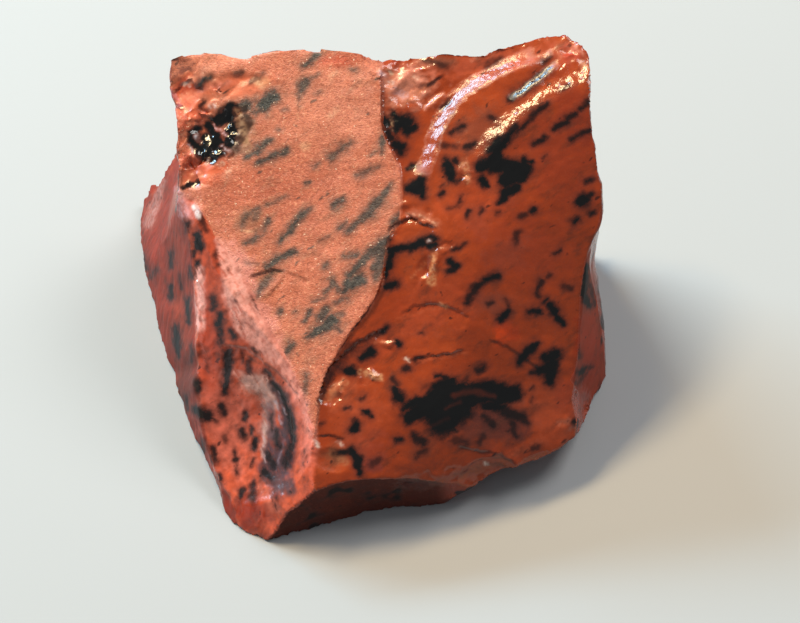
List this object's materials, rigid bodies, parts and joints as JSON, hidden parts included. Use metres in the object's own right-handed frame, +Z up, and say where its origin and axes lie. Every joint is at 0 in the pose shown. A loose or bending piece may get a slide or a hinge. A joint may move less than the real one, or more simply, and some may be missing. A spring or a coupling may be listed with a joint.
{
  "type": "rough red jasper stone",
  "caption": "Rough broken lump of glossy brick-red stone with black blotches, wedge-shaped with a matt split beside a shell-like curved one, lying on a flat break.",
  "frame": {"origin": "middle of the bounding box of the lump, at the flat break that it rests on", "axes": "+X to the right along the longest extent, +Y to the back, +Z up, seen from the front where the broad break leans back"},
  "size_m": [0.0498, 0.0426, 0.0285],
  "materials": {
    "stone": "glossy broken stone, mottled black, with a matt split"
  },
  "bodies": {
    "root": {"stone": "stone"}
  },
  "joints": []
}
